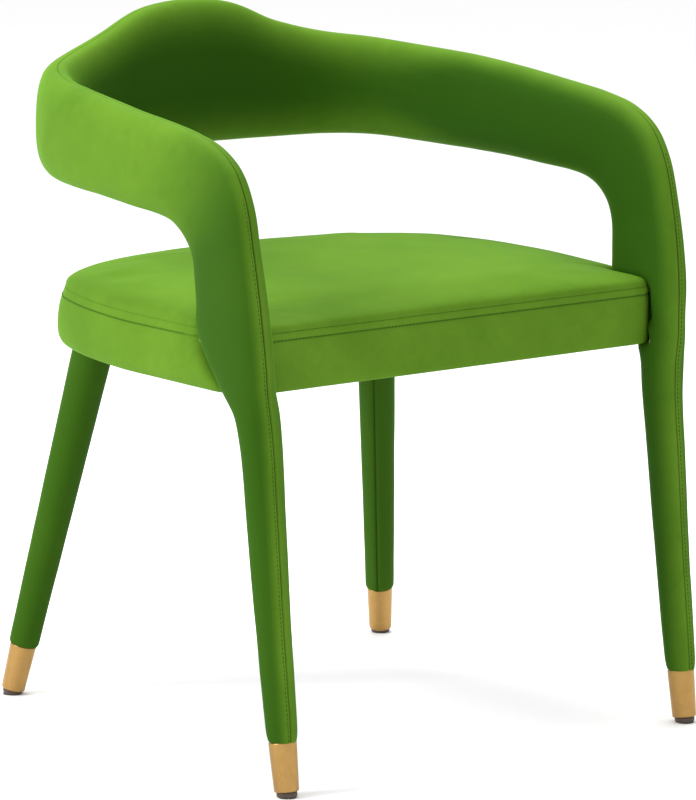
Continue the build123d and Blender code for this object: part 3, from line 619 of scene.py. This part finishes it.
def glide_finish():
    f = Finish("brown_nylon")
    place = f.add("ShaderNodeTexCoord", {}, {})["Object"]
    grain = f.add("ShaderNodeTexNoise", {}, {"Vector": place, "Scale": 1300.0, "Detail": 3.0})["Fac"]
    scuff = f.add("ShaderNodeTexNoise", {}, {"Vector": place, "Scale": 160.0, "Detail": 5.0})["Fac"]
    tone = f.mix(scuff, (0.022, 0.014, 0.009, 1), (0.075, 0.048, 0.034, 1))
    return f.close(Base_Color=tone, Roughness=0.42 + scuff * 0.2, Normal=f.bump(grain, 0.25, 0.0001))


brass, nylon = brass_finish(), glide_finish()


def turned(name, axis, profile, finish, mirror, floor=None, around=64):
    """A closed turned piece from (distance up the leg, radius) pairs, from pole to pole."""
    foot, up = axis(foot_z), (axis(100) - axis(0)).normalized()
    first = Vector((1, 0, 0)) - up * up.x
    first.normalize()
    second = up.cross(first)
    verts, faces = [], []
    for d, r in profile:
        for k in range(around):
            a = 2 * math.pi * k / around
            p = foot + up * d + first * (r * math.cos(a)) + second * (r * math.sin(a))
            if floor is not None and p.z < floor:
                p.z = floor
            verts.append(((-p.x if mirror else p.x) / 1000, (p.y + set_back) / 1000, p.z / 1000))
    for i in range(len(profile) - 1):
        for k in range(around):
            q = (k + 1) % around
            faces.append((i * around + k, i * around + q, (i + 1) * around + q, (i + 1) * around + k))
    faces += [tuple(range(around))[::-1], tuple((len(profile) - 1) * around + k for k in range(around))]
    if mirror:
        faces = [tuple(reversed(f)) for f in faces]
    mesh = bpy.data.meshes.new(name)
    mesh.from_pydata(verts, [], faces)
    mesh.polygons.foreach_set("use_smooth", [len(f) == 4 for f in faces])
    mesh.materials.append(finish)
    piece = bpy.data.objects.new(name, mesh)
    bpy.context.collection.objects.link(piece)
    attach(piece, "root")
    return piece


for end, axis in (("front", front_axis), ("rear", rear_axis)):
    reach = (axis(hem_z) - axis(foot_z)).length
    cup = [(1.2, 3.0), (0.35, 3.2), (0.0, 3.8), (0.0, 9.5), (0.0, 11.6), (0.12, 12.3), (0.5, 12.85),
           (1.1, 13.2), (1.9, 13.34)]
    cup += [(1.9 + (reach - 3.4) * k / 6, 13.34 + 1.62 * k / 6) for k in range(1, 7)]
    cup += [(reach - 0.7, 14.98), (reach - 0.2, 14.8), (reach, 14.3), (reach, 13.9), (reach - 8, 13.7),
            (1.6, 12.1), (1.25, 11.6)]
    puck = [(-9.0, 4.0), (-9.0, 9.6), (-5.6, 9.9), (-4.9, 10.45), (-4.0, 10.85), (-2.6, 11.0),
            (-1.1, 11.0), (-0.5, 10.8), (-0.12, 10.2), (-0.1, 4.0)]
    for side in ("left", "right"):
        metal = turned(f"{side}_{end}_brass_ferrule", axis, cup, brass, side == "right")
        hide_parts(f"{side}_{end}_ferrule")
        slider = turned(f"{side}_{end}_nylon_glide", axis, puck, nylon, side == "right", floor=0.0)
        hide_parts(f"{side}_{end}_glide")


# Hidden structure: laminated and solid frame parts, the plywood seat deck, foam, zinc-plated
# bolts and screws, and the black non-woven cover stapled under the seat.
def timber_finish(name, dark, light, ply=False):
    f = Finish(name)
    place = f.add("ShaderNodeTexCoord", {}, {})["Object"]
    stretch = (60.0, 60.0, 700.0) if ply else (240.0, 40.0, 60.0)
    along = f.add("ShaderNodeMapping", {}, {"Vector": place, "Scale": stretch})["Vector"]
    grain = f.add("ShaderNodeTexNoise", {}, {"Vector": along, "Scale": 1.0, "Detail": 5.0,
                                             "Distortion": 0.8})["Fac"]
    pores = f.add("ShaderNodeTexNoise", {}, {"Vector": place, "Scale": 900.0, "Detail": 2.0})["Fac"]
    tone = f.mix(grain * 0.85 + pores * 0.15, (*dark, 1), (*light, 1))
    return f.close(Base_Color=tone, Roughness=0.55 + grain * 0.2, Normal=f.bump(grain, 0.3, 0.0003))


def lining_finish():
    f = Finish("black_nonwoven")
    place = f.add("ShaderNodeTexCoord", {}, {})["Object"]
    bonds = f.add("ShaderNodeTexVoronoi", {}, {"Vector": place, "Scale": 420.0})["Distance"]
    fibres = f.add("ShaderNodeTexNoise", {}, {"Vector": place, "Scale": 800.0, "Detail": 4.0})["Fac"]
    tone = f.mix(fibres, (0.010, 0.010, 0.011, 1), (0.045, 0.045, 0.048, 1))
    return f.close(Base_Color=tone, Roughness=0.75 + fibres * 0.2,
                   Normal=f.bump(bonds + fibres * 0.4, 0.5, 0.0003))


def steel_finish():
    f = Finish("zinc_steel")
    place = f.add("ShaderNodeTexCoord", {}, {})["Object"]
    spangle = f.add("ShaderNodeTexNoise", {}, {"Vector": place, "Scale": 500.0, "Detail": 3.0})["Fac"]
    tone = f.mix(spangle, (0.42, 0.42, 0.43, 1), (0.66, 0.66, 0.65, 1))
    return f.close(Base_Color=tone, Metallic=1.0, Roughness=0.3 + spangle * 0.2)


finishes = {
    "frame_wood": timber_finish("beech", (0.36, 0.22, 0.11), (0.62, 0.44, 0.26)),
    "plywood": timber_finish("birch_plywood", (0.48, 0.33, 0.18), (0.72, 0.56, 0.36), ply=True),
    "lining": lining_finish(),
    "steel": steel_finish(),
}
slots = {part["node"]: part["material_slot"] for part in frame["record"]["subparts"]}
for name, node in frame["nodes"].items():
    finish = finishes.get(slots.get(name))
    if finish:
        for place in node.material_slots:
            place.material = finish


# Setting: a pale floor that runs into a white surround, a large soft light high on the left and
# a little behind, a weaker one overhead, and a long lens a few metres away.
def floor_finish():
    f = Finish("white_floor")
    place = f.add("ShaderNodeTexCoord", {}, {})["Object"]
    cloud = f.add("ShaderNodeTexNoise", {}, {"Vector": place, "Scale": 3.0})["Fac"]
    return f.close(Base_Color=f.mix(cloud, (0.93, 0.93, 0.93, 1), (0.95, 0.95, 0.95, 1)), Roughness=0.9)


ground = bpy.data.meshes.new("floor")
ground.from_pydata([(-30, -30, 0), (30, -30, 0), (30, 30, 0), (-30, 30, 0)], [], [(0, 1, 2, 3)])
ground.materials.append(floor_finish())
floor = bpy.data.objects.new("floor", ground)
bpy.context.collection.objects.link(floor)

world = bpy.data.worlds.new("studio")
world.use_nodes = True
world.node_tree.nodes["Background"].inputs["Color"].default_value = (1, 1, 1, 1)
world.node_tree.nodes["Background"].inputs["Strength"].default_value = 1.0
bpy.context.scene.world = world
bpy.context.scene.view_settings.view_transform = "Standard"


def soft_light(name, where, at, size, power):
    lamp = bpy.data.lights.new(name, "AREA")
    lamp.shape, lamp.size, lamp.size_y, lamp.energy = "RECTANGLE", size[0], size[1], power
    thing = bpy.data.objects.new(name, lamp)
    thing.location = where
    thing.rotation_euler = (Vector(at) - Vector(where)).to_track_quat("-Z", "Y").to_euler()
    bpy.context.collection.objects.link(thing)


soft_light("key", (-3.0, 0.7, 2.4), (0, 0, 0.5), (1.4, 1.4), 110)
soft_light("top", (0.4, 0.4, 3.4), (0, 0, 0.5), (1.2, 1.2), 82)

turn, tilt, away = math.radians(-36.246), math.radians(10.732), 5.7673
back_off = Vector((math.sin(turn) * math.cos(tilt), -math.cos(turn) * math.cos(tilt), math.sin(tilt)))
lens = bpy.data.cameras.new("camera")
lens.sensor_fit, lens.sensor_width, lens.sensor_height = "AUTO", 36.0, 36.0
lens.lens, lens.clip_end = 5248.4 / 800 * 36, 100
camera = bpy.data.objects.new("camera", lens)
camera.location = Vector((0.00112, set_back / 1000, 0.35081)) + back_off * away
camera.rotation_euler = (-back_off).to_track_quat("-Z", "Y").to_euler()
bpy.context.collection.objects.link(camera)
bpy.context.scene.camera = camera
